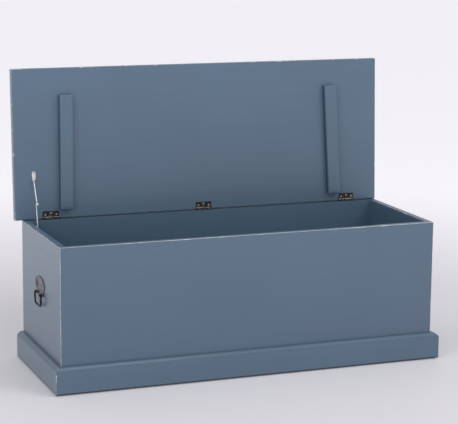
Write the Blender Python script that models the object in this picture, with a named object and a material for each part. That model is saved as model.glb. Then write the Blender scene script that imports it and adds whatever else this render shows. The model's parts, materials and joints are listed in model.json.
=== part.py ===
"""Painted wooden toy box: plinth chest, hinged lid with a folding stay, two drop handles.

Metres, +Z up.  The lid is modelled standing open, three degrees past upright.
"""
import math

import bmesh
import bpy
from mathutils import Matrix, Vector

MM = 0.001

# The box: outside of the body, board thickness and the running clearance between pieces.
WIDTH = 1.160
DEPTH = 0.418
HEIGHT = 0.420
BOARD = 0.019
GAP = 0.0003

# The floor of the box stands on two long cleats.
FLOOR_THICK = 0.012
FLOOR_UNDER = 0.038
CLEAT = 0.020
CLEAT_SHORT = 0.040

# The plinth runs round the front and both ends, mitred at the front corners.
PLINTH_OUT = 0.020
PLINTH_TALL = 0.080
PLINTH_SHOULDER = 0.071

# The lid overhangs the front and, unevenly, the two ends.
LID_THICK = 0.022
LID_OVER_LEFT = 0.020
LID_OVER_RIGHT = 0.009
LID_REACH = 0.447
LID_PAST_PIN = 0.0044
LID_OPEN = math.radians(93.0)

# Two battens across the inside of the lid, each a little out of square.
BATTEN_WIDE = 0.038
BATTEN_THICK = 0.018
BATTEN_FROM = 0.023
BATTEN_TO = 0.367
BATTENS = {"lid_batten_left": (-0.4430, -0.4385), "lid_batten_right": (0.4380, 0.4240)}

# Butt hinges: one leaf lies on the back board's top edge, the other inside the lid.
HINGE_XS = {"left": -0.490, "middle": -0.001, "right": 0.486}
HINGE_LONG = 0.050
LEAF_THICK = 0.0016
LEAF_REACH = 0.0188
LEAF_START = 0.0031
LEAF_APART = 0.0024
KNUCKLES = 5
KNUCKLE_R = 0.0028
KNUCKLE_BORE = 0.0016
PIN_R = 0.0013
PIN_HEAD_R = 0.0023
HINGE_Y = DEPTH
HINGE_Z = HEIGHT + GAP + LEAF_THICK + LEAF_APART / 2
LID_FACE = LEAF_APART / 2 + LEAF_THICK + GAP
SCREW_STEP = 0.017
SCREW_NEAR = 0.0085
SCREW_FAR = 0.0130

# Countersunk wood screws: head radius, shank radius, head depth and length.
SCREW_HEAD_R = 0.0031
SCREW_SHANK_R = 0.0014
SCREW_HEAD_DEEP = 0.0013
SCREW_LONG = 0.0120
SCREW_CLEAR = 0.00025

# Folding stay beside the left end: pivots, arm strips and rivets.
STAY_LID_ALONG = 0.119
STAY_LID_DROP = 0.0070
STAY_BOX_Y = 0.360
STAY_BOX_Z = 0.360
STAY_SLACK = 0.002
STAY_RATIO = 1.4
ARM_WIDE = 0.008
ARM_THICK = 0.002
ARM_HOLE_R = 0.0023
RIVET_R = 0.0020
RIVET_HEAD_R = 0.0035
UPPER_ARM_X = -0.5427
LOWER_ARM_X = -0.5450
EAR_X = -0.5450
EAR_THICK = 0.0014
BRACKET_X = -0.5400
BRACKET_WIDE = 0.011
BRACKET_LONG = 0.028
BRACKET_THICK = 0.0016

# Drop handles near mid depth on both ends.
HANDLE_Y = 0.215
HANDLE_Z = 0.243
PLATE_HALF = 0.050
PLATE_RISE = 0.050
PLATE_FOOT = -0.0065
PLATE_FOOT_HALF = 0.0345
PLATE_THICK = 0.002
BAIL_HALF = 0.0345
BAIL_DROP = 0.0330
BAIL_ROD_R = 0.0027
BAIL_OUT = 0.0075
LUG_X = 0.0245
LUG_WIDE = 0.0055
LUG_R = 0.0048
HANDLE_SCREW = (0.026, 0.027)

BODY_LEFT = -WIDTH / 2
BODY_RIGHT = WIDTH / 2
LID_LEAN = LID_OPEN - math.radians(90.0)
LID_BACK = HINGE_Y + (LID_FACE + LID_THICK) * math.cos(LID_LEAN) + LID_REACH * math.sin(LID_LEAN)
FRONT_Y = -(LID_BACK - PLINTH_OUT) / 2

BLUE_PAINT = (0.105, 0.150, 0.212, 1.0)
BRONZE = (0.060, 0.048, 0.040, 1.0)
STEEL = (0.420, 0.410, 0.400, 1.0)
NICKEL = (0.700, 0.700, 0.690, 1.0)
IRON = (0.045, 0.043, 0.042, 1.0)


def clear_scene():
    for item in list(bpy.data.objects):
        bpy.data.objects.remove(item, do_unlink=True)


def surface(name, colour, roughness, metallic):
    material = bpy.data.materials.new(name)
    material.use_nodes = True
    shader = material.node_tree.nodes["Principled BSDF"]
    shader.inputs["Base Color"].default_value = colour
    shader.inputs["Roughness"].default_value = roughness
    shader.inputs["Metallic"].default_value = metallic
    return material


def paint(name):
    return surface(name + "_paint", BLUE_PAINT, 0.55, 0.0)


def bronze(name):
    return surface(name + "_bronze", BRONZE, 0.45, 0.9)


def steel(name):
    return surface(name + "_steel", STEEL, 0.35, 1.0)


def nickel(name):
    return surface(name + "_nickel", NICKEL, 0.30, 1.0)


def iron(name):
    return surface(name + "_iron", IRON, 0.55, 0.8)


def empty(name, parent, location, rotation=(0.0, 0.0, 0.0)):
    item = bpy.data.objects.new(name, None)
    bpy.context.collection.objects.link(item)
    item.parent = parent
    item.location = location
    item.rotation_euler = rotation
    return item


def add_object(name, shape, material, parent, location=(0.0, 0.0, 0.0), rotation=(0.0, 0.0, 0.0)):
    """Turn a bmesh into an object with outward faces."""
    bmesh.ops.recalc_face_normals(shape, faces=shape.faces)
    mesh = bpy.data.meshes.new(name)
    shape.to_mesh(mesh)
    shape.free()
    item = bpy.data.objects.new(name, mesh)
    bpy.context.collection.objects.link(item)
    item.parent = parent
    item.location = location
    item.rotation_euler = rotation
    if material is not None:
        mesh.materials.append(material)
    return item


def hide_cutter(item):
    item.hide_render = True
    item.display_type = "WIRE"


def combine(host, tool, operation):
    modifier = host.modifiers.new(tool.name + "_" + operation.lower(), "BOOLEAN")
    modifier.operation = operation
    modifier.solver = "EXACT"
    modifier.object = tool
    hide_cutter(tool)


def ease_edges(item, width, segments=2):
    modifier = item.modifiers.new("eased_edges", "BEVEL")
    modifier.width = width
    modifier.segments = segments
    modifier.limit_method = "ANGLE"
    modifier.angle_limit = math.radians(40.0)


def block_shape(low, high):
    """A box between two corners."""
    shape = bmesh.new()
    bmesh.ops.create_cube(shape, size=1.0)
    size = Vector(high) - Vector(low)
    middle = (Vector(high) + Vector(low)) / 2
    matrix = Matrix.Translation(middle) @ Matrix.Diagonal((*size, 1.0))
    bmesh.ops.transform(shape, matrix=matrix, verts=shape.verts)
    return shape


def board(name, low, high, parent, easing=0.0012):
    """A painted board between two corners, with its origin at its middle."""
    middle = (Vector(high) + Vector(low)) / 2
    shape = block_shape(Vector(low) - middle, Vector(high) - middle)
    item = add_object(name, shape, paint(name), parent, middle)
    ease_edges(item, easing)
    return item


def lathe_into(shape, profile, segments, matrix):
    """Spin a profile of (radius, height) pairs, ending on the axis, round local Z."""
    rings = []
    for radius, height in profile:
        if radius == 0.0:
            rings.append([shape.verts.new(matrix @ Vector((0.0, 0.0, height)))])
            continue
        ring = []
        for step in range(segments):
            turn = math.tau * step / segments
            point = Vector((radius * math.cos(turn), radius * math.sin(turn), height))
            ring.append(shape.verts.new(matrix @ point))
        rings.append(ring)
    for lower, upper in zip(rings, rings[1:]):
        for step in range(segments):
            after = (step + 1) % segments
            corners = [lower[step % len(lower)], lower[after % len(lower)],
                       upper[after % len(upper)], upper[step % len(upper)]]
            shape.faces.new(list(dict.fromkeys(corners)))


def lathe(profile, segments=16, matrix=Matrix.Identity(4)):
    shape = bmesh.new()
    lathe_into(shape, profile, segments, matrix)
    return shape


def plate_shape(outline, thickness):
    """Extrude an outline in local XY by a thickness along +Z."""
    shape = bmesh.new()
    lower = [shape.verts.new((x, y, 0.0)) for x, y in outline]
    upper = [shape.verts.new((x, y, thickness)) for x, y in outline]
    shape.faces.new(list(reversed(lower)))
    shape.faces.new(upper)
    for step in range(len(outline)):
        after = (step + 1) % len(outline)
        shape.faces.new((lower[step], lower[after], upper[after], upper[step]))
    return shape


def arc(centre, radius, start, stop, steps):
    """Points on an arc, angles in degrees."""
    points = []
    for step in range(steps + 1):
        turn = math.radians(start + (stop - start) * step / steps)
        points.append((centre[0] + radius * math.cos(turn), centre[1] + radius * math.sin(turn)))
    return points


def obround(start, stop, width):
    """Outline of a strip with round ends, along local Y."""
    half = width / 2
    return arc((0.0, stop), half, 0.0, 180.0, 8) + arc((0.0, start), half, 180.0, 360.0, 8)


def screw_profile(clearance):
    return [(0.0, -SCREW_LONG - clearance),
            (SCREW_SHANK_R + clearance, -SCREW_LONG - clearance),
            (SCREW_SHANK_R + clearance, -SCREW_HEAD_DEEP - clearance),
            (SCREW_HEAD_R + clearance, 0.0),
            (SCREW_HEAD_R + clearance, clearance * 8),
            (0.0, clearance * 8)]


def fix_with_screws(name, parent, places, rotation, plate, timber):
    """Countersunk screws through a plate into timber; local +Z points out of the plate."""
    cutter = bmesh.new()
    turn = Matrix.LocRotScale(None, rotation_matrix(rotation), None)
    head = [(0.0, -SCREW_LONG), (SCREW_SHANK_R, -SCREW_LONG), (SCREW_SHANK_R, -SCREW_HEAD_DEEP),
            (SCREW_HEAD_R, -0.0001), (SCREW_HEAD_R, 0.0), (0.0, 0.0)]
    for number, place in enumerate(places, start=1):
        label = f"{name}_screw_{number}"
        add_object(label, lathe(head), steel(label), parent, place, rotation)
        lathe_into(cutter, screw_profile(SCREW_CLEAR), 16, Matrix.Translation(place) @ turn)
    tool = add_object(name + "_screw_holes", cutter, None, parent)
    combine(plate, tool, "DIFFERENCE")
    combine(timber, tool, "DIFFERENCE")


def rotation_matrix(rotation):
    return Matrix.Rotation(rotation[1], 3, "Y") @ Matrix.Rotation(rotation[0], 3, "X")


def plinth_profile():
    """Pairs of (distance out from the body, height): a flat board with a rounded top."""
    rise = PLINTH_TALL - PLINTH_SHOULDER
    run = PLINTH_OUT * 0.8
    curve = []
    for step in range(7):
        turn = math.radians(15.0 * step)
        curve.append((PLINTH_OUT - run * (1 - math.cos(turn)), PLINTH_SHOULDER + rise * math.sin(turn)))
    return [(GAP, 0.0), (PLINTH_OUT, 0.0)] + curve + [(GAP, PLINTH_TALL)]


def plinth_board(name, start, stop, parent):
    """Run the plinth profile between two mitred or square ends."""
    shape = bmesh.new()
    first = [shape.verts.new(start(out, high)) for out, high in plinth_profile()]
    last = [shape.verts.new(stop(out, high)) for out, high in plinth_profile()]
    shape.faces.new(first)
    shape.faces.new(last)
    for step in range(len(first)):
        after = (step + 1) % len(first)
        shape.faces.new((first[step], first[after], last[after], last[step]))
    return add_object(name, shape, paint(name), parent)


def build_plinth(box):
    half = WIDTH / 2
    plinth_board("plinth_front", lambda out, high: (-half - out + GAP, -out, high),
                 lambda out, high: (half + out - GAP, -out, high), box)
    for name, side in (("plinth_left", -1), ("plinth_right", 1)):
        plinth_board(name, lambda out, high, s=side: (s * (half + out), -out + GAP, high),
                     lambda out, high, s=side: (s * (half + out), DEPTH, high), box)


def build_body(box):
    """Front and back boards run the full width and the end boards stand between them."""
    inner_back = DEPTH - BOARD
    boards = {}
    boards["front"] = board("front_panel", (BODY_LEFT, 0.0, 0.0), (BODY_RIGHT, BOARD, HEIGHT), box)
    boards["back"] = board("back_panel", (BODY_LEFT, inner_back, 0.0), (BODY_RIGHT, DEPTH, HEIGHT), box)
    low = BOARD + GAP
    high = inner_back - GAP
    boards["left"] = board("left_panel", (BODY_LEFT, low, 0.0), (BODY_LEFT + BOARD, high, HEIGHT), box)
    boards["right"] = board("right_panel", (BODY_RIGHT - BOARD, low, 0.0), (BODY_RIGHT, high, HEIGHT), box)
    reach = WIDTH / 2 - BOARD - GAP
    board("bottom_panel", (-reach, low, FLOOR_UNDER), (reach, high, FLOOR_UNDER + FLOOR_THICK), box, 0.0005)
    cleat_top = FLOOR_UNDER - GAP
    cleat_end = reach - CLEAT_SHORT
    for name, near in (("cleat_front", low), ("cleat_back", high - CLEAT)):
        board(name, (-cleat_end, near, cleat_top - CLEAT), (cleat_end, near + CLEAT, cleat_top), box)
    return boards


def build_lid(lid):
    low = (BODY_LEFT - LID_OVER_LEFT, -LID_REACH, LID_FACE)
    high = (BODY_RIGHT + LID_OVER_RIGHT, LID_PAST_PIN, LID_FACE + LID_THICK)
    panel = board("lid_panel", low, high, lid, 0.0020)
    top = LID_FACE - GAP
    for name, (near_x, far_x) in BATTENS.items():
        middle_x = (near_x + far_x) / 2
        middle_y = -(BATTEN_FROM + BATTEN_TO) / 2
        long = BATTEN_TO - BATTEN_FROM
        shape = block_shape((-BATTEN_WIDE / 2, -long / 2, -BATTEN_THICK), (BATTEN_WIDE / 2, long / 2, 0.0))
        skew = math.atan2(far_x - near_x, long)
        batten = add_object(name, shape, paint(name), lid, (middle_x, middle_y, top), (0.0, 0.0, skew))
        ease_edges(batten, 0.0012)
    return panel


def leaf_profile(side):
    """The curl of a leaf round its pin, from the underside of the plate back to its top."""
    under = LEAF_APART / 2 + LEAF_THICK
    over = LEAF_APART / 2
    outer = arc((0.0, 0.0), KNUCKLE_R, -math.degrees(math.asin(under / KNUCKLE_R)), -345.0, 14)
    inner = arc((0.0, 0.0), KNUCKLE_BORE, -345.0, -math.degrees(math.asin(over / KNUCKLE_BORE)), 14)
    return [(-u, side * w) for u, w in outer + inner]


def build_leaf(name, parent, middle, taken, side):
    """A flat leaf with rolled knuckles in the taken places; side -1 lies below the pin."""
    step = HINGE_LONG / KNUCKLES
    curl = leaf_profile(-side)
    over = side * LEAF_APART / 2
    under = side * (LEAF_APART / 2 + LEAF_THICK)
    shape = bmesh.new()
    cuts = []
    for index in range(KNUCKLES):
        near = index * step - HINGE_LONG / 2
        trim = GAP / 2
        left = near + (trim if index > 0 else 0.0)
        right = near + step - (trim if index < KNUCKLES - 1 else 0.0)
        if index in taken:
            cuts += [(left, True), (right, False)]
    if cuts[0][0] > -HINGE_LONG / 2:
        cuts.insert(0, (-HINGE_LONG / 2, False))
    if cuts[-1][0] < HINGE_LONG / 2:
        cuts.append((HINGE_LONG / 2, False))
    stations = []
    for x, _ in cuts:
        plate = [(-LEAF_REACH, under), (-LEAF_START, under), (-LEAF_START, over), (-LEAF_REACH, over)]
        stations.append([shape.verts.new((x, y, z)) for y, z in plate])
    for (x, curled), (after_x, _), near, far in zip(cuts, cuts[1:], stations, stations[1:]):
        for start, stop in ((0, 1), (2, 3), (3, 0)):
            shape.faces.new((near[start], near[stop], far[stop], far[start]))
        if not curled:
            shape.faces.new((near[1], near[2], far[2], far[1]))
            continue
        first = [near[1]] + [shape.verts.new((x, y, z)) for y, z in curl] + [near[2]]
        last = [far[1]] + [shape.verts.new((after_x, y, z)) for y, z in curl] + [far[2]]
        for index in range(len(first) - 1):
            shape.faces.new((first[index], first[index + 1], last[index + 1], last[index]))
        shape.faces.new(first)
        shape.faces.new(last)
    shape.faces.new(stations[0])
    shape.faces.new(stations[-1])
    return add_object(name, shape, bronze(name), parent, middle)


def build_hinge(place, x, box, lid, back, panel):
    under_places = []
    lid_places = []
    for shift, reach in ((-SCREW_STEP, SCREW_NEAR), (0.0, SCREW_FAR), (SCREW_STEP, SCREW_NEAR)):
        under_places.append((x + shift, HINGE_Y - reach, HINGE_Z - LEAF_APART / 2))
        lid_places.append((x + shift, -reach, LEAF_APART / 2))
    pin_place = (x, HINGE_Y, HINGE_Z)
    name = "hinge_" + place
    box_leaf = build_leaf(name + "_box_leaf", box, pin_place, (0, 2, 4), -1)
    lid_leaf = build_leaf(name + "_lid_leaf", lid, (x, 0.0, 0.0), (1, 3), 1)
    fix_with_screws(name + "_box", box, under_places, (0.0, 0.0, 0.0), box_leaf, back)
    fix_with_screws(name + "_lid", lid, lid_places, (math.pi, 0.0, 0.0), lid_leaf, panel)
    half = HINGE_LONG / 2
    pin = [(0.0, -half - 0.0016), (0.0012, -half - 0.0015), (PIN_HEAD_R, -half - GAP), (PIN_R, -half - GAP),
           (PIN_R, half + GAP), (PIN_HEAD_R, half + GAP), (0.0012, half + 0.0015), (0.0, half + 0.0016)]
    turned = (0.0, math.pi / 2, 0.0)
    add_object(name + "_pin", lathe(pin, 20), bronze(name + "_pin"), box, pin_place, turned)


def stay_geometry():
    """Pivots and arm lengths of the stay in the box's YZ plane, with the lid open."""
    along = -STAY_LID_ALONG
    drop = LID_FACE - STAY_LID_DROP
    lid_pivot = Vector((HINGE_Y + along * math.cos(-LID_OPEN) - drop * math.sin(-LID_OPEN),
                        HINGE_Z + along * math.sin(-LID_OPEN) + drop * math.cos(-LID_OPEN)))
    box_pivot = Vector((STAY_BOX_Y, STAY_BOX_Z))
    line = lid_pivot - box_pivot
    total = line.length + STAY_SLACK
    upper = total / (1 + STAY_RATIO)
    lower = total - upper
    foot = (lower ** 2 - upper ** 2 + line.length ** 2) / (2 * line.length)
    rise = math.sqrt(lower ** 2 - foot ** 2)
    unit = line.normalized()
    elbow = box_pivot + unit * foot + Vector((-unit.y, unit.x)) * rise
    return lid_pivot, box_pivot, elbow, upper, lower


def strip(name, length, parent, location, angle):
    """A flat arm turning about X at its origin, with a hole at both ends."""
    shape = plate_shape(obround(0.0, length, ARM_WIDE), ARM_THICK)
    stand = Matrix.Rotation(math.pi / 2, 4, "Y") @ Matrix.Rotation(math.pi / 2, 4, "Z")
    lay = Matrix(((0.0, 0.0, 1.0, -ARM_THICK / 2), (1.0, 0.0, 0.0, 0.0), (0.0, 1.0, 0.0, 0.0),
                  (0.0, 0.0, 0.0, 1.0)))
    bmesh.ops.transform(shape, matrix=lay @ Matrix.Rotation(-math.pi / 2, 4, "Z"), verts=shape.verts)
    arm = add_object(name, shape, nickel(name), parent, location, (angle, 0.0, 0.0))
    cutter = bmesh.new()
    bore = [(0.0, -0.004), (ARM_HOLE_R, -0.004), (ARM_HOLE_R, 0.004), (0.0, 0.004)]
    for reach in (0.0, length):
        lathe_into(cutter, bore, 24, Matrix.Translation((0.0, reach, 0.0)) @ stand)
    tool = add_object(name + "_holes", cutter, None, arm)
    combine(arm, tool, "DIFFERENCE")
    ease_edges(arm, 0.0003, 1)
    return arm


def cross_bore(host, name, parent, place, radius, half):
    """A hole along X."""
    turned = (0.0, math.pi / 2, 0.0)
    bore = lathe([(0.0, -half), (radius, -half), (radius, half), (0.0, half)], 18)
    tool = add_object(name, bore, None, parent, place, turned)
    combine(host, tool, "DIFFERENCE")


def build_lid_bracket(lid, panel, drop):
    """A rounded plate inside the lid with an ear that carries the stay's upper pivot."""
    low = LID_FACE - GAP - BRACKET_THICK
    outline = obround(-0.5 * (BRACKET_LONG - BRACKET_WIDE), 0.5 * (BRACKET_LONG - BRACKET_WIDE), BRACKET_WIDE)
    middle_y = -(STAY_LID_ALONG + 0.008)
    bracket = add_object("stay_lid_bracket", plate_shape(outline, BRACKET_THICK), nickel("stay_lid_bracket"),
                         lid, (BRACKET_X, middle_y, low))
    ear_half = 0.005
    shape = block_shape((EAR_X - EAR_THICK / 2, -STAY_LID_ALONG - ear_half, drop - ear_half),
                        (EAR_X + EAR_THICK / 2, -STAY_LID_ALONG + ear_half, low + BRACKET_THICK * 0.6))
    ear = add_object("stay_lid_ear", shape, None, lid)
    combine(bracket, ear, "UNION")
    pivot = (EAR_X, -STAY_LID_ALONG, drop)
    cross_bore(bracket, "stay_lid_ear_hole", lid, pivot, ARM_HOLE_R, 0.0012)
    places = [(BRACKET_X + 0.001, middle_y - 0.009, low), (BRACKET_X + 0.001, middle_y + 0.009, low)]
    fix_with_screws("stay_lid", lid, places, (math.pi, 0.0, 0.0), bracket, panel)


def rivet(name, parent, place, sections):
    """A rivet along X from (radius, x) pairs measured from its place."""
    turned = (0.0, math.pi / 2, 0.0)
    profile = [(0.0, sections[0][1])] + sections + [(0.0, sections[-1][1])]
    add_object(name, lathe(profile, 16), nickel(name), parent, place, turned)


def build_stay(box, lid, panel, left):
    lid_pivot, box_pivot, elbow, upper, lower = stay_geometry()
    drop = LID_FACE - STAY_LID_DROP
    build_lid_bracket(lid, panel, drop)
    arm_half = ARM_THICK / 2
    reach = elbow - lid_pivot
    upper_turn = math.atan2(reach.y, reach.x) + LID_OPEN
    upper_place = (UPPER_ARM_X, -STAY_LID_ALONG, drop)
    upper_arm = strip("stay_upper_arm", upper, lid, upper_place, upper_turn)
    reach = elbow - box_pivot
    lower_turn = math.atan2(reach.y, reach.x)
    strip("stay_lower_arm", lower, box, (LOWER_ARM_X, *box_pivot), lower_turn)
    ear_left = EAR_X - EAR_THICK / 2 - GAP - UPPER_ARM_X
    rivet("stay_lid_rivet", lid, upper_place,
          [(RIVET_HEAD_R * 0.7, ear_left - 0.0012), (RIVET_HEAD_R, ear_left), (RIVET_R, ear_left),
           (RIVET_R, arm_half + GAP), (RIVET_HEAD_R, arm_half + GAP), (RIVET_HEAD_R * 0.7, arm_half + 0.0015)])
    rivet("stay_elbow_rivet", upper_arm, (0.0, upper, 0.0),
          [(RIVET_R, -arm_half), (RIVET_R, arm_half + GAP), (RIVET_HEAD_R, arm_half + GAP),
           (RIVET_HEAD_R, arm_half + 0.0022), (RIVET_HEAD_R * 0.7, arm_half + 0.0030)])
    wall = BODY_LEFT + BOARD
    base_x = wall + GAP
    outline = obround(-0.0115, 0.0115, BRACKET_WIDE)
    plate = add_object("stay_box_bracket", plate_shape(outline, BRACKET_THICK), nickel("stay_box_bracket"),
                       box, (base_x, *box_pivot), (0.0, math.pi / 2, 0.0))
    plate.rotation_euler = (math.pi / 2, 0.0, math.pi / 2)
    outer = base_x + BRACKET_THICK
    cross_bore(plate, "stay_box_plate_hole", box, (base_x, *box_pivot), RIVET_R + GAP, 0.004)
    cross_bore(left, "stay_box_wood_hole", box, (wall, *box_pivot), RIVET_R + GAP, 0.009)
    places = [(outer, box_pivot.x, box_pivot.y + step) for step in (-0.0115, 0.0115)]
    fix_with_screws("stay_box", box, places, (0.0, math.pi / 2, 0.0), plate, left)
    start = outer + GAP - LOWER_ARM_X
    rivet("stay_box_rivet", box, (LOWER_ARM_X, *box_pivot),
          [(RIVET_R, wall - 0.008 - LOWER_ARM_X), (RIVET_R, start), (0.004, start), (0.004, -arm_half - GAP),
           (RIVET_R, -arm_half - GAP), (RIVET_R, arm_half + GAP), (RIVET_HEAD_R, arm_half + GAP),
           (RIVET_HEAD_R * 0.7, arm_half + 0.0015)])


def backplate_outline():
    """A shield: flat foot, flared sides and an arched crown."""
    widest = 0.024
    flare = 0.010
    side = [(PLATE_FOOT_HALF - 0.003, PLATE_FOOT), (PLATE_FOOT_HALF, PLATE_FOOT + 0.002)]
    side.append((PLATE_FOOT_HALF + 0.002, PLATE_FOOT + 0.008))
    side.append((PLATE_HALF - 0.006, widest - flare))
    side.append((PLATE_HALF - 0.0015, widest - flare * 0.4))
    crown = []
    for step in range(10):
        turn = math.radians(10.0 * step)
        crown.append((PLATE_HALF * math.cos(turn), widest + (PLATE_RISE - widest) * math.sin(turn)))
    half = side + crown
    return half[:-1] + [(0.0, PLATE_RISE)] + [(-x, y) for x, y in reversed(half[:-1])]


def sweep(path, radius, segments=12):
    """A round rod along a path, square to it at every point, with flat ends."""
    shape = bmesh.new()
    rings = []
    for index, point in enumerate(path):
        before = path[max(index - 1, 0)]
        after = path[min(index + 1, len(path) - 1)]
        along = (Vector(after) - Vector(before)).normalized()
        across = along.cross(Vector((0.0, 0.0, 1.0)))
        ring = []
        for step in range(segments):
            turn = math.tau * step / segments
            offset = across * math.cos(turn) * radius + Vector((0.0, 0.0, math.sin(turn) * radius))
            ring.append(shape.verts.new(Vector(point) + offset))
        rings.append(ring)
    for lower, upper in zip(rings, rings[1:]):
        for step in range(segments):
            after = (step + 1) % segments
            shape.faces.new((lower[step], lower[after], upper[after], upper[step]))
    shape.faces.new(rings[0])
    shape.faces.new(rings[-1])
    return shape


def bail_path():
    """Half of the bail is drawn from its pivot stub round to the middle, then mirrored."""
    bend = 0.006
    narrow = 0.005
    low = BAIL_HALF - narrow
    half = [(LUG_X - LUG_WIDE / 2 - 0.001, 0.0), (BAIL_HALF - bend, 0.0)]
    half += arc((BAIL_HALF - bend, -bend), bend, 90.0, 0.0, 5)[1:]
    half += [(BAIL_HALF - narrow * 0.5, -BAIL_DROP * 0.55)]
    half += arc((low - bend, -BAIL_DROP + bend), bend, 0.0, -90.0, 5)
    half += [(low * 0.4, -BAIL_DROP - 0.0008), (0.0, -BAIL_DROP - 0.0012)]
    whole = half + [(-x, y) for x, y in reversed(half[:-1])]
    return [(x, y, 0.0) for x, y in whole]


def build_handle(name, side, box, panel):
    """A backplate with two lugs and a bail that swings on them; local +Z points outwards."""
    turn = Matrix(((0.0, 0.0, side), (side, 0.0, 0.0), (0.0, 1.0, 0.0))).to_euler()
    frame = empty(name, box, (side * WIDTH / 2, HANDLE_Y, HANDLE_Z), turn)
    plate_name = name + "_backplate"
    plate = add_object(plate_name, plate_shape(backplate_outline(), PLATE_THICK), iron(plate_name),
                       frame, (0.0, 0.0, GAP))
    ease_edges(plate, 0.0005, 1)
    for label, x in (("near", -LUG_X), ("far", LUG_X)):
        shape = plate_shape(arc((0.0, 0.0), LUG_R, -30.0, 210.0, 10), LUG_WIDE)
        stand = Matrix(((0.0, 0.0, 1.0, -LUG_WIDE / 2), (-1.0, 0.0, 0.0, 0.0), (0.0, 1.0, 0.0, 0.0),
                        (0.0, 0.0, 0.0, 1.0)))
        bmesh.ops.transform(shape, matrix=stand, verts=shape.verts)
        lug = add_object(f"{name}_lug_{label}", shape, None, frame, (x, 0.0, BAIL_OUT))
        combine(plate, lug, "UNION")
        foot = block_shape((-LUG_WIDE / 2, -LUG_R * 0.86, 0.0), (LUG_WIDE / 2, LUG_R * 0.86, BAIL_OUT))
        stem = add_object(f"{name}_stem_{label}", foot, None, frame, (x, 0.0, GAP * 2))
        combine(plate, stem, "UNION")
    bore_half = LUG_X + LUG_WIDE
    radius = BAIL_ROD_R + GAP
    bore = lathe([(0.0, -bore_half), (radius, -bore_half), (radius, bore_half), (0.0, bore_half)], 20)
    tool = add_object(name + "_lug_bore", bore, None, frame, (0.0, 0.0, BAIL_OUT), (0.0, math.pi / 2, 0.0))
    combine(plate, tool, "DIFFERENCE")
    x, y = HANDLE_SCREW
    places = [(-x, y, GAP + PLATE_THICK), (x, y, GAP + PLATE_THICK)]
    fix_with_screws(name, frame, places, (0.0, 0.0, 0.0), plate, panel)
    bail_name = name + "_bail"
    add_object(bail_name, sweep(bail_path(), BAIL_ROD_R), iron(bail_name), frame, (0.0, 0.0, BAIL_OUT))


def build_toy_box():
    clear_scene()
    box = empty("toy_box", None, (0.0, FRONT_Y, 0.0))
    lid = empty("lid_axis", box, (0.0, HINGE_Y, HINGE_Z), (-LID_OPEN, 0.0, 0.0))
    boards = build_body(box)
    build_plinth(box)
    panel = build_lid(lid)
    for place, x in HINGE_XS.items():
        build_hinge(place, x, box, lid, boards["back"], panel)
    build_stay(box, lid, panel, boards["left"])
    build_handle("handle_left", -1, box, boards["left"])
    build_handle("handle_right", 1, box, boards["right"])


build_toy_box()
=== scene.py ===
"""Looks for the painted toy box: worn satin paint, aged hinges, a nickel stay and iron handles."""
import json
import math
import random

import bmesh
import bpy
from mathutils import Matrix, Vector, noise


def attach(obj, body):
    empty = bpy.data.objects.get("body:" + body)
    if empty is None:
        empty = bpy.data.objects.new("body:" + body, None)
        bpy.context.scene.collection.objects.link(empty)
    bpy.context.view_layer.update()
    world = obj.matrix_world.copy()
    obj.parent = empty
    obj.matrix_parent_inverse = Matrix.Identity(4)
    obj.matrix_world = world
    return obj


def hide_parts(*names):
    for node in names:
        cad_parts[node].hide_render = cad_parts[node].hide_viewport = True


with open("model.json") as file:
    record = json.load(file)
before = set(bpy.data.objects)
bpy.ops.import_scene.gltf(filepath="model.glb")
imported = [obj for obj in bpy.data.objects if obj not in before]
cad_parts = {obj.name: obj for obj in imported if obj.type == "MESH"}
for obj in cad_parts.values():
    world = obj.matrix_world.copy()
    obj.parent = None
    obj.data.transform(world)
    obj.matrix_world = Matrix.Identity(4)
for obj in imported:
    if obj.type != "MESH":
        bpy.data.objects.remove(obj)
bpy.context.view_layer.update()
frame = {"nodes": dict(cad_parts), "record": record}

# The lid stands open in the frame.  LID is its own space, where it lies flat on the hinge line.
JOINTS = {joint["name"]: joint for joint in frame["record"]["behaviour"]["joints"]}
HINGE = Vector(JOINTS["lid_hinge"]["pos_m"])
LID_OPEN = math.radians(93.0)
LID = Matrix.Translation(HINGE) @ Matrix.Rotation(-LID_OPEN, 4, "X")
IDENTITY = Matrix.Identity(4)

# Paint and metal colours, linear.
BLUE = (0.0860, 0.1445, 0.2150)
BARE = (0.680, 0.660, 0.620)
BARE_PALE = (0.80, 0.78, 0.75)
BRONZE_DARK = (0.062, 0.053, 0.048)
BRONZE_RUBBED = (0.400, 0.382, 0.365)
IRON_DARK = (0.024, 0.024, 0.029)
IRON_RUBBED = (0.150, 0.150, 0.160)
PEWTER_DARK = (0.170, 0.165, 0.170)
PEWTER_RUBBED = (0.520, 0.510, 0.520)
# Darker colour laid round the handle plates' screws.
PLATE_SPOT_DARK = (0.030, 0.028, 0.034)
NICKEL = (0.930, 0.925, 0.920)
NICKEL_DULL = (0.80, 0.80, 0.79)
STEEL = (0.860, 0.850, 0.830)
STEEL_DULL = (0.50, 0.49, 0.47)
FLOOR_NEAR = (0.720, 0.705, 0.735)
FLOOR_FAR = (0.900, 0.885, 0.920)
SKY_COLOUR = (0.965, 0.960, 1.0, 1.0)

# Clear coat of the paint, the depth of its relief, and the radii of the hinge barrel's rub.
COAT = 0.55
PAINT_RELIEF = 0.00022
BARREL_OUTER = 0.0036
BARREL_INNER = 0.0026

# Longest slice of a board, so that its edges can wander.
BOARD_SLICE = 0.010

# Eased metal edges, and the depth of a screw's head.
METAL_EASE = 0.00025
METAL_CREASE = math.radians(40.0)
SCREW_DEEP = 0.0013

# Stay arms are narrow between their eyes: where the neck starts and its share of the width.
NECK_CUTS = (0.006, 0.011)
NECK_FROM = 0.0105
NECK_SHARE = 0.56

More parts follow.
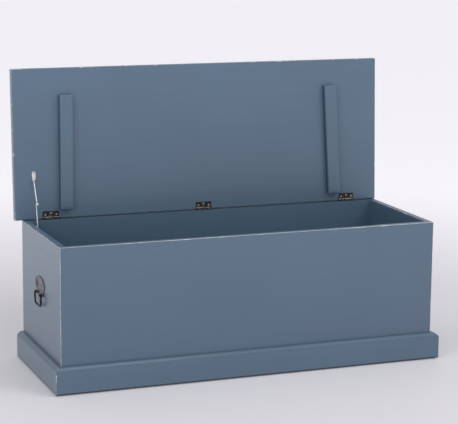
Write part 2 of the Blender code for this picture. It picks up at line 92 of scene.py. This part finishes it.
# Plinth: the shoulder's height as a share of the whole, its ledge, the gaps behind it and at the
# mitres, the slices along its lengths, and the widest rub at its corners.
SHOULDER = 0.8875
LEDGE = 0.0015
PLINTH_BACK = 0.0003
MITRE_GAP = 0.0002
FRONT_STEPS = 70
END_STEPS = 26
PLINTH_WEAR = 0.0024
PLINTH_WEAR_RIGHT = 0.0014

# Studio: the sky's strength, how far the floor's fade runs and how much it glows near and far.
SKY = 0.56
FADE = (0.55, 3.2)
GLOW = (0.14, 0.43)
FLOOR_REACH = 60.0
FLOOR_DROP = 0.0005
LIGHTS = (
    ("key", (2.2, -2.4, 3.4), (0.0, 0.1, 0.3), (2.2, 1.6), 39.0, (1.0, 0.99, 0.97)),
    ("overhead", (-0.3, -0.50, 1.75), (-0.1, 0.2, 0.7), (1.7, 0.5), 4.8, (1.0, 0.99, 0.98)),
    ("window", (-3.4, -3.0, 1.5), (0.0, 0.0, 0.3), (2.0, 2.0), 34.0, (1.0, 0.99, 0.98)),
)
CAMERA_PLACE = (-1.82166, -4.68998, 1.41450)
CAMERA_YAW = 0.3718
CAMERA_PITCH = -0.1903
CAMERA_ROLL = 0.0098
CAMERA_LENS = 134.3
CAMERA_SENSOR = 36.0


class Shader:
    """A short way to lay and join shader nodes."""

    def __init__(self, name):
        self.material = bpy.data.materials.new(name)
        self.material.use_nodes = True
        self.tree = self.material.node_tree
        self.principled = self.tree.nodes["Principled BSDF"]

    def node(self, kind, **inputs):
        made = self.tree.nodes.new(kind)
        for key, value in inputs.items():
            self.feed(made.inputs[key.replace("_", " ")], value)
        return made

    def feed(self, socket, value):
        if isinstance(value, bpy.types.NodeSocket):
            self.tree.links.new(value, socket)
        elif isinstance(value, tuple) and len(value) == 3 and socket.type == "RGBA":
            socket.default_value = (*value, 1.0)
        else:
            socket.default_value = value

    def math(self, operation, first, second=0.0, third=0.0):
        made = self.tree.nodes.new("ShaderNodeMath")
        made.operation = operation
        for socket, value in zip(made.inputs, (first, second, third)):
            self.feed(socket, value)
        return made.outputs[0]

    def vary(self, base, factor, amount):
        """The base value, moved up and down by a noise that is centred on a half."""
        return self.math("MULTIPLY_ADD", self.math("SUBTRACT", factor, 0.5), amount, base)

    def span(self, value, low, high, to_low=0.0, to_high=1.0, smooth=True):
        made = self.tree.nodes.new("ShaderNodeMapRange")
        made.interpolation_type = "SMOOTHSTEP" if smooth else "LINEAR"
        for socket, given in zip(made.inputs, (value, low, high, to_low, to_high)):
            self.feed(socket, given)
        return made.outputs[0]

    def mix(self, factor, first, second):
        made = self.tree.nodes.new("ShaderNodeMix")
        made.data_type = "RGBA"
        self.feed(made.inputs["Factor"], factor)
        self.feed(made.inputs["A"], first)
        self.feed(made.inputs["B"], second)
        return made.outputs["Result"]

    def vector(self, operation, first, **inputs):
        made = self.node("ShaderNodeVectorMath")
        made.operation = operation
        for key, value in {"Vector": first, **inputs}.items():
            self.feed(made.inputs[key], value)
        return made

    def place(self):
        return self.tree.nodes.new("ShaderNodeTexCoord").outputs["Object"]

    def stretched(self, place, scale):
        return self.node("ShaderNodeMapping", Vector=place, Scale=scale).outputs[0]

    def noise(self, place, scale, detail=3.0, roughness=0.5, distortion=0.0):
        made = self.node("ShaderNodeTexNoise", Vector=place, Scale=scale, Detail=detail,
                         Roughness=roughness, Distortion=distortion)
        return made.outputs["Fac"]

    def split(self, place):
        made = self.node("ShaderNodeSeparateXYZ", Vector=place)
        return made.outputs[0], made.outputs[1], made.outputs[2]

    def bump(self, height, distance, strength=0.8):
        made = self.node("ShaderNodeBump", Height=height, Distance=distance, Strength=strength)
        self.tree.links.new(made.outputs[0], self.principled.inputs["Normal"])

    def set(self, **inputs):
        for key, value in inputs.items():
            self.feed(self.principled.inputs[key.replace("_", " ")], value)


def edge_distance(shader, place, half, edges):
    """Distance from a point to the nearest of a board's listed edges.

    An edge is a pair of (axis, sign); sign 0 stands for both sides of that axis.  A third
    number sets the line that far in from the side, for a crease across a face, and a fourth
    makes the distance grow faster.
    """
    values = shader.split(place)

    def gap(axis, sign, inset=None, growth=1.0):
        if inset is not None:
            start = (half[axis] - inset) * growth
            signed = shader.math("MULTIPLY_ADD", values[axis], -float(sign) * growth, start)
            return shader.math("ABSOLUTE", signed)
        if sign == 0:
            return shader.math("SUBTRACT", half[axis], shader.math("ABSOLUTE", values[axis]))
        return shader.math("MULTIPLY_ADD", values[axis], -float(sign), half[axis])

    nearest = None
    for first, second in edges:
        reach = shader.math("MAXIMUM", gap(*first), gap(*second))
        nearest = reach if nearest is None else shader.math("MINIMUM", nearest, reach)
    return nearest


def filled_holes(shader, plugs):
    """Slightly sunk discs where screws were filled before painting."""
    place = shader.place()
    total = None
    for x, y in plugs:
        flat = shader.vector("MULTIPLY_ADD", place)
        flat.inputs[1].default_value = (1.0, 1.0, 0.0)
        flat.inputs[2].default_value = (-x, -y, 0.0)
        length = shader.vector("LENGTH", flat.outputs[0])
        dent = shader.span(length.outputs["Value"], 0.0052, 0.0036, 0.0, -2.2)
        total = dent if total is None else shader.math("ADD", total, dent)
    return total


def along_grain(shader, place, grain, across, along, *looks):
    """Noise drawn out along the board's grain axis."""
    scale = [across] * 3
    scale[grain] = along
    return shader.noise(shader.stretched(place, tuple(scale)), 1.0, *looks)


def paint(name, half, grain, wear, seed, edges, rubbed=(0.50, 0.74), thin=0.00055, patch_size=21.0,
          ragged_by=0.0014, plugs=(), creases=(), dirt=0.0034, left=0.30):
    """Brushed satin paint over timber, rubbed through along its edges, with painted shade in creases.

    thin and wear are the narrowest and widest rub along an edge, and rubbed is the span of noise
    that leads from one to the other.  The last two arguments paint shade into the creases: how far
    that painted shade reaches, and left, the share of the paint's brightness that it leaves.
    """
    shader = Shader(name)
    moved = shader.vector("ADD", shader.place())
    moved.inputs[1].default_value = (seed * 1.37, seed * 0.71, seed * 2.13)
    moved = moved.outputs[0]
    streak = along_grain(shader, moved, grain, 230.0, 5.0, 3.0, 0.6)
    fibre = along_grain(shader, moved, grain, 70.0, 2.2, 4.0, 0.55, 0.4)
    patch = shader.noise(moved, 3.2, 2.0)
    peel = shader.noise(moved, 620.0, 2.0)
    ragged = shader.noise(moved, 260.0, 4.0, 0.65)
    rub = shader.noise(moved, patch_size, 5.0, 0.6)

    distance = edge_distance(shader, shader.place(), half, edges) if edges else 1.0
    reach = shader.vary(shader.span(rub, rubbed[0], rubbed[1], thin, wear), ragged, ragged_by)
    worn = shader.span(shader.math("SUBTRACT", reach, distance), -0.00025, 0.00045)

    shade = 1.0
    for factor, amount in ((patch, 0.16), (streak, 0.12), (fibre, 0.08)):
        shade = shader.vary(shade, factor, amount)
    coat = COAT
    # Painted shade: the paint and its coat darken towards the listed creases, where parts meet and shade
    # falls.
    if creases:
        crease = edge_distance(shader, shader.place(), half, creases)
        unshaded = shader.span(crease, dirt * 0.45, dirt, left, 1.0)
        shade = shader.math("MULTIPLY", shade, unshaded)
        coat = shader.math("MULTIPLY", unshaded, COAT)
    tint = shader.vector("SCALE", BLUE, Scale=shade)
    timber = shader.mix(shader.span(fibre, 0.35, 0.65), BARE, BARE_PALE)
    gloss = shader.vary(0.40, streak, 0.14)
    shader.set(Base_Color=shader.mix(worn, tint.outputs[0], timber))
    shader.set(Coat_Weight=coat, Coat_Roughness=0.24, Coat_IOR=1.5)
    shader.set(Roughness=shader.math("MULTIPLY_ADD", worn, 0.3, gloss))

    height = shader.math("MULTIPLY_ADD", fibre, 0.7, streak)
    height = shader.math("MULTIPLY_ADD", peel, 0.25, height)
    height = shader.math("MULTIPLY_ADD", worn, -0.9, height)
    if plugs:
        height = shader.math("ADD", height, filled_holes(shader, plugs))
    shader.bump(height, PAINT_RELIEF)
    return shader.material


def barrel_rub(shader, place, cloud):
    """How brightly the knuckles round the hinge line are rubbed."""
    _, across, up = shader.split(place)
    off_y = shader.math("SUBTRACT", across, HINGE.y)
    off_z = shader.math("SUBTRACT", up, HINGE.z)
    squares = shader.math("ADD", shader.math("MULTIPLY", off_y, off_y), shader.math("MULTIPLY", off_z, off_z))
    barrel = shader.span(shader.math("SQRT", squares), BARREL_OUTER, BARREL_INNER)
    barrel = shader.math("MULTIPLY", barrel, shader.span(cloud, 0.44, 0.60, 0.10, 0.80))
    return shader.math("MULTIPLY", barrel, 0.95)


def metal(name, dark, rubbed, roughness, scale, pitted=False, near_hinge=False, dark_spots=()):
    """Aged metal: dark, rubbed bright where hands and movement reach, and darker round any given spots."""
    shader = Shader(name)
    place = shader.place()
    cloud = shader.noise(place, scale, 5.0, 0.6)
    grain = shader.noise(place, scale * 14.0, 3.0, 0.6)
    lift = shader.math("MULTIPLY", shader.span(cloud, 0.48, 0.78), 0.55)
    if near_hinge:
        lift = shader.math("MAXIMUM", lift, barrel_rub(shader, place, cloud))
    colour = shader.mix(lift, dark, rubbed)
    # Darker colour round each given spot, spread over about its size.
    for point, size in dark_spots:
        gap = shader.vector("DISTANCE", place)
        gap.inputs[1].default_value = point
        reach = shader.vary(gap.outputs["Value"], cloud, size * 1.6)
        colour = shader.mix(shader.span(reach, size * 0.55, size * 1.15), PLATE_SPOT_DARK, colour)
    shader.set(Base_Color=colour, Metallic=0.85 if pitted else 1.0)
    shader.set(Roughness=shader.math("MULTIPLY_ADD", grain, 0.25, roughness - 0.12))
    shader.bump(shader.math("MULTIPLY_ADD", grain, 0.4, cloud), 0.0004 if pitted else 0.00006)
    return shader.material


def nickel_plate():
    """Bright, slightly brushed nickel."""
    shader = Shader("stay_nickel")
    brushed = shader.noise(shader.stretched(shader.place(), (900.0, 90.0, 90.0)), 1.0, 3.0)
    cloud = shader.noise(shader.place(), 90.0, 3.0)
    shader.set(Base_Color=shader.mix(cloud, NICKEL_DULL, NICKEL), Metallic=0.75)
    shader.set(Roughness=shader.math("MULTIPLY_ADD", brushed, 0.2, 0.26))
    shader.bump(brushed, 0.00003, 0.6)
    return shader.material


def local_box(node, matrix):
    """Corners of a CAD node in the space of a matrix."""
    inverse = matrix.inverted()
    item = frame["nodes"][node]
    points = [inverse @ (item.matrix_world @ vertex.co) for vertex in item.data.vertices]
    low = Vector([min(point[axis] for point in points) for axis in range(3)])
    high = Vector([max(point[axis] for point in points) for axis in range(3)])
    return low, high


def middle_of(node):
    """Centre of a CAD node's box in the frame."""
    low, high = local_box(node, IDENTITY)
    return (low + high) / 2


def add_piece(name, shape, material, matrix, body, nodes=(), smooth=True):
    """Turn a bmesh into a piece that rides on a body and stands in for CAD nodes."""
    bmesh.ops.recalc_face_normals(shape, faces=shape.faces)
    mesh = bpy.data.meshes.new(name)
    shape.to_mesh(mesh)
    shape.free()
    mesh.materials.append(material)
    for polygon in mesh.polygons:
        polygon.use_smooth = smooth
    item = bpy.data.objects.new(name, mesh)
    bpy.context.collection.objects.link(item)
    item.matrix_world = matrix
    bpy.context.view_layer.update()
    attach(item, body)
    if nodes:
        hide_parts(*nodes)
    return item


def sharpen(item, degrees=35.0):
    """Smooth shading with creases kept."""
    for edge in item.data.edges:
        edge.use_edge_sharp = False
    item.data.set_sharp_from_angle(angle=math.radians(degrees))


def ease_edges(item):
    """A fine round on every sharp edge of a metal piece."""
    soften = item.modifiers.new("eased_edges", "BEVEL")
    soften.width = METAL_EASE
    soften.segments = 2
    soften.limit_method = "ANGLE"
    soften.angle_limit = METAL_CREASE
    soften.use_clamp_overlap = True


def give_material(item, material):
    for slot in item.material_slots:
        slot.material = material


def cut(shape, point, normal):
    """Cut a shape's faces along a plane and keep both sides."""
    parts = shape.verts[:] + shape.edges[:] + shape.faces[:]
    bmesh.ops.bisect_plane(shape, geom=parts, plane_co=point, plane_no=normal)


def slice_shape(shape, axis, low, high, count):
    """Cut a shape into equal slices along an axis."""
    normal = Vector((0.0, 0.0, 0.0))
    normal[axis] = 1.0
    for index in range(1, count):
        cut(shape, normal * (low + (high - low) * index / count), normal)


def toward(point, face):
    """How far a point lies toward a face, given as (axis, sign)."""
    axis, sign = face
    return abs(point[axis]) if sign == 0 else sign * point[axis]


def listed(first, second, edges):
    """True if the edge between two faces of a board is one of the listed ones."""
    faces = []
    for normal in (first, second):
        axis = max(range(3), key=lambda index: abs(normal[index]))
        faces.append((axis, 1 if normal[axis] > 0 else -1))
    for pair in edges:
        for order in (faces, faces[::-1]):
            fits = [kept[0] == face[0] and face[1] in (0, kept[1]) for kept, face in zip(order, pair)]
            if all(fits):
                return True
    return False


def board_shape(half, spacing, radius, nibble, seed, edges):
    """A board whose listed edges are eased, wander a little and are nibbled, like hand-finished timber."""
    shape = bmesh.new()
    bmesh.ops.create_cube(shape, size=2.0)
    bmesh.ops.transform(shape, matrix=Matrix.Diagonal((*half, 1.0)), verts=shape.verts)
    for axis in range(3):
        count = max(1, round(2 * half[axis] / spacing))
        slice_shape(shape, axis, -half[axis], half[axis], count)
    shape.normal_update()
    corners = []
    for edge in shape.edges:
        first, second = (face.normal for face in edge.link_faces)
        if first.dot(second) < 0.5 and listed(first, second, edges):
            corners.append(edge)
    bmesh.ops.bevel(shape, geom=corners, offset=radius, segments=3, profile=0.5, affect="EDGES")
    for vertex in shape.verts:
        reaches = []
        for pair in edges:
            reaches.append(max(half[face[0]] - toward(vertex.co, face) for face in pair))
        if min(reaches) > radius * 1.01:
            continue
        gaps = sorted((half[axis] - abs(vertex.co[axis]), axis) for axis in range(3))
        ragged = noise.noise(vertex.co * 43.0 + Vector((seed, 0.0, 0.0)))
        deep = max(0.0, ragged - 0.1) * nibble
        for _, axis in gaps[:2]:
            vertex.co[axis] -= math.copysign(min(deep, half[axis] * 0.3), vertex.co[axis])
    return shape


def add_board(name, node, body, matrix=IDENTITY, *, seed, edges, radius=0.0012, nibble=0.0003,
              wear=0.0022, grain=0, stretch=(0.0, 0.0, 0.0), **looks):
    """A painted board in place of a CAD node, with its edges eased, nibbled and worn."""
    low, high = local_box(node, matrix)
    half = (high - low) / 2
    place = matrix @ Matrix.Translation((low + high) / 2)
    material = paint(name + "_paint", half, grain, wear, seed, edges, **looks)
    shape = board_shape(half + Vector(stretch), BOARD_SLICE, radius, nibble, seed, edges)
    item = add_piece(name, shape, material, place, body, (node,))
    sharpen(item)


def add_boards():
    """The four walls and the lid; each lists the edges that hands and toys rub."""
    front = (((1, -1), (2, 1)), ((1, 1), (2, 1)), ((0, 0), (1, -1)), ((0, 0), (2, 1)))
    back = (((0, 0), (1, 1)), ((0, 0), (2, 1)))
    ends = (((0, 0), (2, 1)),)
    lid = (((0, 0), (1, -1)), ((0, 0), (2, 0)), ((1, -1), (2, 0)), ((1, 1), (2, 1)))
    # Painted shade along the back board's top, under the lid's hinge edge.
    painted_shade_under_lid = (((1, 1, 0.0095), (2, 1, 0.0, 12.0)),)
    close = (0.0, 0.00025, 0.0)
    add_board("front_board", "front_panel", "chest", wear=0.0020, nibble=0.0001, seed=1.0, edges=front,
              thin=0.0009, rubbed=(0.48, 0.74))
    add_board("back_board", "back_panel", "chest", seed=2.0, edges=back, creases=painted_shade_under_lid,
              dirt=0.0100, left=0.06)
    add_board("left_board", "left_panel", "chest", grain=1, seed=3.0, edges=ends, stretch=close)
    add_board("right_board", "right_panel", "chest", grain=1, seed=4.0, edges=ends, stretch=close)
    # The lid gets painted shade along the lower edge of its inner face, at the hinge.
    add_board("lid_board", "lid_panel", "lid", LID, wear=0.0020, radius=0.0016, nibble=0.0002, seed=6.0,
              patch_size=45.0, rubbed=(0.53, 0.76), edges=lid, creases=(((1, 1), (2, -1)),))


def add_battens():
    """Two strips inside the lid, each a little out of square, with filled screw holes."""
    free = (((0, 0), (1, 0)), ((0, 0), (2, -1)), ((1, 0), (2, -1)))
    # Painted shade on the battens' sides, darker towards the lid face they stand on.
    lid_side_shade = (((0, 0), (2, 1)), ((1, 0), (2, 1)))
    plugs = ((0.002, -0.120), (-0.001, 0.004), (0.001, 0.125))
    for node, off, length in (("lid_batten_left", 0.0045, 0.344), ("lid_batten_right", -0.014, 0.344)):
        skew = math.atan2(off, length)
        matrix = LID @ Matrix.Rotation(skew, 4, "Z")
        add_board(node + "_board", node, "lid", matrix, grain=1, wear=0.0006, thin=0.0001,
                  seed=10.0 + skew, edges=free, plugs=plugs, creases=lid_side_shade, dirt=0.0100)


def plinth_profile(out, tall):
    """Pairs of (distance out, height): rebated foot, flat face, ledge, sloping band, rounded top."""
    shoulder = tall * SHOULDER
    band = (tall - shoulder) / 2
    run = band * 2
    points = [(PLINTH_BACK, 0.0), (out - 0.0070, 0.0), (out - 0.0062, 0.0027)]
    points += [(out - 0.0006, 0.0030), (out, 0.0037), (out, tall * 0.3), (out, tall * 0.6)]
    points += [(out, shoulder - 0.0011), (out - 0.0004, shoulder - 0.0003), (out - LEDGE, shoulder)]
    for step in range(7):
        along = run * step / 6
        points.append((out - LEDGE - band - along, shoulder + band + along - along * along / (2 * run)))
    points.append((PLINTH_BACK, tall))
    return points


def run_shape(profile, start, stop, count, centre, seed):
    """Sweep a profile between two ends, with small dents on its outer edges."""
    shape = bmesh.new()
    rings = []
    for index in range(count + 1):
        share = index / count
        ring = []
        for out, high in profile:
            point = start(out, high).lerp(stop(out, high), share)
            ragged = noise.noise(point * 27.0 + Vector((seed, 3.0, 1.0)))
            dented = out > 0.012 and high > 0.05 and 0 < index < count
            deep = max(0.0, ragged - 0.2) * 0.0007 if dented else 0.0
            ring.append(shape.verts.new(point - centre - Vector((0.0, 0.0, deep))))
        rings.append(ring)
    join_rings(shape, rings)
    return shape


def join_rings(shape, rings):
    """Faces between neighbouring rings, and a cap on the first and the last."""
    count = len(rings[0])
    for near, far in zip(rings, rings[1:]):
        for step in range(count):
            after = (step + 1) % count
            shape.faces.new((near[step], near[after], far[after], far[step]))
    shape.faces.new(rings[0])
    shape.faces.new(rings[-1])


def add_plinth_run(node, start, stop, profile, count, grain, seeds, wear, outward):
    """One mitred length of plinth; outward is the (axis, sign) of its face."""
    low, high = local_box(node, IDENTITY)
    centre = (low + high) / 2
    half = (high - low) / 2
    shape = run_shape(profile, start, stop, count, centre, seeds[0])
    corner = (((0, -1), (1, -1)),) if outward[0] == 1 else ((outward, (1, -1)),)
    # Painted shadow along the foot of each plinth face, where it meets the floor.
    foot = ((outward, (2, -1)),)
    material = paint(node + "_paint", half, grain, wear, seeds[1], corner, thin=0.0001, rubbed=(0.46, 0.70),
                     patch_size=75.0, ragged_by=0.0022, creases=foot, dirt=0.0078, left=0.08)
    item = add_piece(node + "_board", shape, material, Matrix.Translation(centre), "chest",
                     (node,))
    sharpen(item)


def add_plinth():
    """The front length and the two ends, mitred at the front corners."""
    body_low, body_high = local_box("front_panel", IDENTITY)
    _, back_high = local_box("back_panel", IDENTITY)
    low, high = local_box("plinth_front", IDENTITY)
    front_y = body_low.y
    profile = plinth_profile(front_y - low.y, high.z)

    def front_start(reach, tall):
        return Vector((body_low.x - reach + MITRE_GAP, front_y - reach, tall))

    def front_stop(reach, tall):
        return Vector((body_high.x + reach - MITRE_GAP, front_y - reach, tall))

    add_plinth_run("plinth_front", front_start, front_stop, profile, FRONT_STEPS, 0, (4.0, 5.0),
                   PLINTH_WEAR, (1, -1))
    for node, hand, edge, wear in (("plinth_left", -1, body_low.x, PLINTH_WEAR),
                                   ("plinth_right", 1, body_high.x, PLINTH_WEAR_RIGHT)):

        def end_start(reach, tall, hand=hand, edge=edge):
            return Vector((edge + hand * reach, front_y - reach + MITRE_GAP, tall))

        def end_stop(reach, tall, hand=hand, edge=edge):
            return Vector((edge + hand * reach, back_high.y, tall))

        add_plinth_run(node, end_start, end_stop, profile, END_STEPS, 1, (7.0 + hand, 9.0 + hand),
                       wear, (0, hand))


def finish_hidden_boards():
    """Plain paint on the floor of the box and its bearers, whose shapes stay."""
    for number, node in enumerate(("bottom_panel", "cleat_front", "cleat_back"), start=1):
        material = paint(node + "_paint", (), 0, 0.0004, 20.0 + number, ())
        give_material(frame["nodes"][node], material)


def screw_shape(shape, matrix, radius, deep, turn):
    """A countersunk head with a sawn slot, its face at local z = 0."""
    slot = radius * 0.17
    steps = 14
    round_steps = 24
    spin = matrix @ Matrix.Rotation(turn, 4, "Z")
    start = math.asin(slot / radius)
    rims = ((0.62, -deep), (0.86, -deep * 0.45), (1.0, -0.00015), (0.97, 0.0), (0.6, 0.00008))
    for flip in (0.0, math.pi):
        outline = []
        for step in range(steps + 1):
            angle = start + (math.pi - 2 * start) * step / steps
            outline.append((radius * math.cos(angle), radius * math.sin(angle)))
        rings = []
        for shrink, height in rims:
            ring = []
            for x, y in outline:
                y_in = slot + (y - slot) * shrink
                point = Matrix.Rotation(flip, 4, "Z") @ Vector((x * shrink, max(slot, y_in), height))
                ring.append(shape.verts.new(spin @ point))
            rings.append(ring)
        join_rings(shape, rings)
    rings = []
    for reach, height in ((0.55, -deep), (0.80, -deep * 0.55)):
        ring = []
        for step in range(round_steps):
            angle = math.tau * step / round_steps
            point = Vector((radius * reach * math.cos(angle), radius * reach * math.sin(angle), height))
            ring.append(shape.verts.new(spin @ point))
        rings.append(ring)
    join_rings(shape, rings)


def add_screws(name, nodes, outward, matrix, body, material):
    """Slotted heads in place of plain screws; outward is the faces' direction in the matrix's space."""
    shape = bmesh.new()
    turn_to = outward.to_track_quat("Z", "Y").to_matrix().to_4x4()
    axis = max(range(3), key=lambda index: abs(outward[index]))
    across = 1 if axis == 0 else 0
    for node in nodes:
        low, high = local_box(node, matrix)
        middle = (low + high) / 2
        middle[axis] = high[axis] if outward[axis] > 0 else low[axis]
        radius = (high[across] - low[across]) / 2
        turn = random.uniform(0.0, math.pi)
        screw_shape(shape, Matrix.Translation(middle) @ turn_to, radius, SCREW_DEEP, turn)
    item = add_piece(name, shape, material, matrix, body, nodes)
    sharpen(item, 30.0)


def hinge_screws(steel):
    up = Vector((0, 0, 1))
    for place in ("left", "middle", "right"):
        for body, leaf, outward, matrix in (("chest", "box", up, IDENTITY), ("lid", "lid", -up, LID)):
            nodes = [f"hinge_{place}_{leaf}_screw_{number}" for number in (1, 2, 3)]
            add_screws(f"hinge_{place}_{leaf}_heads", nodes, outward, matrix, body, steel)


def other_screws(steel, dark):
    """Two heads in each of the stay's brackets and in each handle's plate."""
    right = Vector((1, 0, 0))
    places = (
        ("stay_lid", Vector((0, 0, -1)), LID, "lid", steel),
        ("stay_box", right, IDENTITY, "chest", steel),
        ("handle_left", -right, IDENTITY, "chest", dark),
        ("handle_right", right, IDENTITY, "chest", dark),
    )
    for place, outward, matrix, body, material in places:
        nodes = [f"{place}_screw_{number}" for number in (1, 2)]
        add_screws(place + "_heads", nodes, outward, matrix, body, material)


def plate_dark_spots():
    """Darker round the handle screws, wider round the rear one of each plate."""
    dark_spots = []
    for place in ("left", "right"):
        spots = [middle_of(f"handle_{place}_screw_{number}") for number in (1, 2)]
        spots.sort(key=lambda spot: spot.y)
        dark_spots += [(spots[0], 0.0075), (spots[1], 0.0180)]
    return dark_spots


def finish_metal(nickel):
    """Materials for the CAD nodes whose shapes stay."""
    bronze = metal("hinge_bronze", BRONZE_DARK, BRONZE_RUBBED, 0.42, 160.0, near_hinge=True)
    pewter = metal("handle_pewter", PEWTER_DARK, PEWTER_RUBBED, 0.40, 90.0, dark_spots=plate_dark_spots())
    iron = metal("handle_iron", IRON_DARK, IRON_RUBBED, 0.50, 130.0, pitted=True)
    kinds = (("hinge_", bronze), ("stay_", nickel), ("handle_", iron))
    for node, item in frame["nodes"].items():
        material = next((given for start, given in kinds if node.startswith(start)), None)
        if node.endswith("_backplate"):
            material = pewter
        if material is not None and "screw" not in node:
            give_material(item, material)
        if node.endswith(("_leaf", "_backplate", "_bracket")):
            ease_edges(item)


def add_stay_arm(node, first, second, body, material):
    """A strip that is narrower between its two round eyes."""
    item = frame["nodes"][node]
    shape = bmesh.new()
    shape.from_mesh(item.data)
    bmesh.ops.transform(shape, matrix=item.matrix_world, verts=shape.verts)
    start = middle_of(first)
    along = middle_of(second) - start
    along.x = 0.0
    length = along.length
    along.normalize()
    near, far = NECK_CUTS
    for share in (near, far, length - far, length - near):
        cut(shape, start + along * share, along)
    for vertex in shape.verts:
        reach = (vertex.co - start).dot(along)
        if NECK_FROM < reach < length - NECK_FROM:
            middle = start + along * reach
            middle.x = vertex.co.x
            vertex.co = middle.lerp(vertex.co, NECK_SHARE)
    made = add_piece(node + "_strip", shape, material, IDENTITY, body, (node,), smooth=False)
    ease_edges(made)


def floor():
    """A pale floor that brightens and glows a little with distance."""
    shader = Shader("pale_floor")
    place = shader.place()
    reach = shader.vector("LENGTH", place)
    cloud = shader.noise(place, 1.3, 3.0)
    far = shader.span(reach.outputs["Value"], *FADE)
    shader.set(Base_Color=shader.mix(far, FLOOR_NEAR, FLOOR_FAR))
    shader.set(Roughness=shader.math("MULTIPLY_ADD", cloud, 0.1, 0.55))
    shader.set(Emission_Color=FLOOR_FAR, Emission_Strength=shader.span(far, 0.0, 1.0, *GLOW, smooth=False))
    mesh = bpy.data.meshes.new("floor")
    corners = [(x * FLOOR_REACH, y * FLOOR_REACH, 0) for x, y in ((-1, -1), (1, -1), (1, 1), (-1, 1))]
    mesh.from_pydata(corners, [], [(0, 1, 2, 3)])
    mesh.materials.append(shader.material)
    item = bpy.data.objects.new("floor", mesh)
    bpy.context.collection.objects.link(item)
    item.location.z = -FLOOR_DROP


def area_light(name, place, target, size, power, colour):
    data = bpy.data.lights.new(name, "AREA")
    data.shape = "RECTANGLE"
    data.size, data.size_y = size
    data.energy = power
    data.color = colour
    item = bpy.data.objects.new(name, data)
    bpy.context.collection.objects.link(item)
    item.location = place
    item.rotation_euler = (Vector(target) - Vector(place)).to_track_quat("-Z", "Y").to_euler()


def lights():
    """An even pale sky and three soft lamps."""
    world = bpy.data.worlds.new("pale_room")
    bpy.context.scene.world = world
    world.use_nodes = True
    sky = world.node_tree.nodes["Background"]
    sky.inputs["Color"].default_value = SKY_COLOUR
    sky.inputs["Strength"].default_value = SKY
    for lamp in LIGHTS:
        area_light(*lamp)


def camera():
    """A camera in front, to the left and a little above, tipped by a small roll."""
    data = bpy.data.cameras.new("camera")
    data.sensor_width = CAMERA_SENSOR
    data.lens = CAMERA_LENS
    item = bpy.data.objects.new("camera", data)
    bpy.context.collection.objects.link(item)
    yaw, pitch, roll = CAMERA_YAW, CAMERA_PITCH, CAMERA_ROLL
    ahead = Vector((math.sin(yaw) * math.cos(pitch), math.cos(yaw) * math.cos(pitch), math.sin(pitch)))
    level = Vector((math.cos(yaw), -math.sin(yaw), 0.0))
    above = level.cross(ahead)
    right = math.cos(roll) * level + math.sin(roll) * above
    up = math.cos(roll) * above - math.sin(roll) * level
    turn = Matrix((right, up, -ahead)).transposed()
    item.matrix_world = Matrix.Translation(CAMERA_PLACE) @ turn.to_4x4()
    bpy.context.scene.camera = item


def build():
    random.seed(7)
    camera()
    add_boards()
    add_battens()
    add_plinth()
    finish_hidden_boards()
    nickel = nickel_plate()
    finish_metal(nickel)
    add_stay_arm("stay_upper_arm", "stay_lid_rivet", "stay_elbow_rivet", "stay_upper", nickel)
    add_stay_arm("stay_lower_arm", "stay_elbow_rivet", "stay_box_rivet", "stay_lower", nickel)
    steel = metal("screw_steel", STEEL_DULL, STEEL, 0.46, 200.0)
    hinge_screws(steel)
    other_screws(steel, metal("handle_screws", IRON_DARK, IRON_RUBBED, 0.45, 200.0))
    floor()
    lights()


build()
bpy.context.scene.view_settings.view_transform = "Standard"
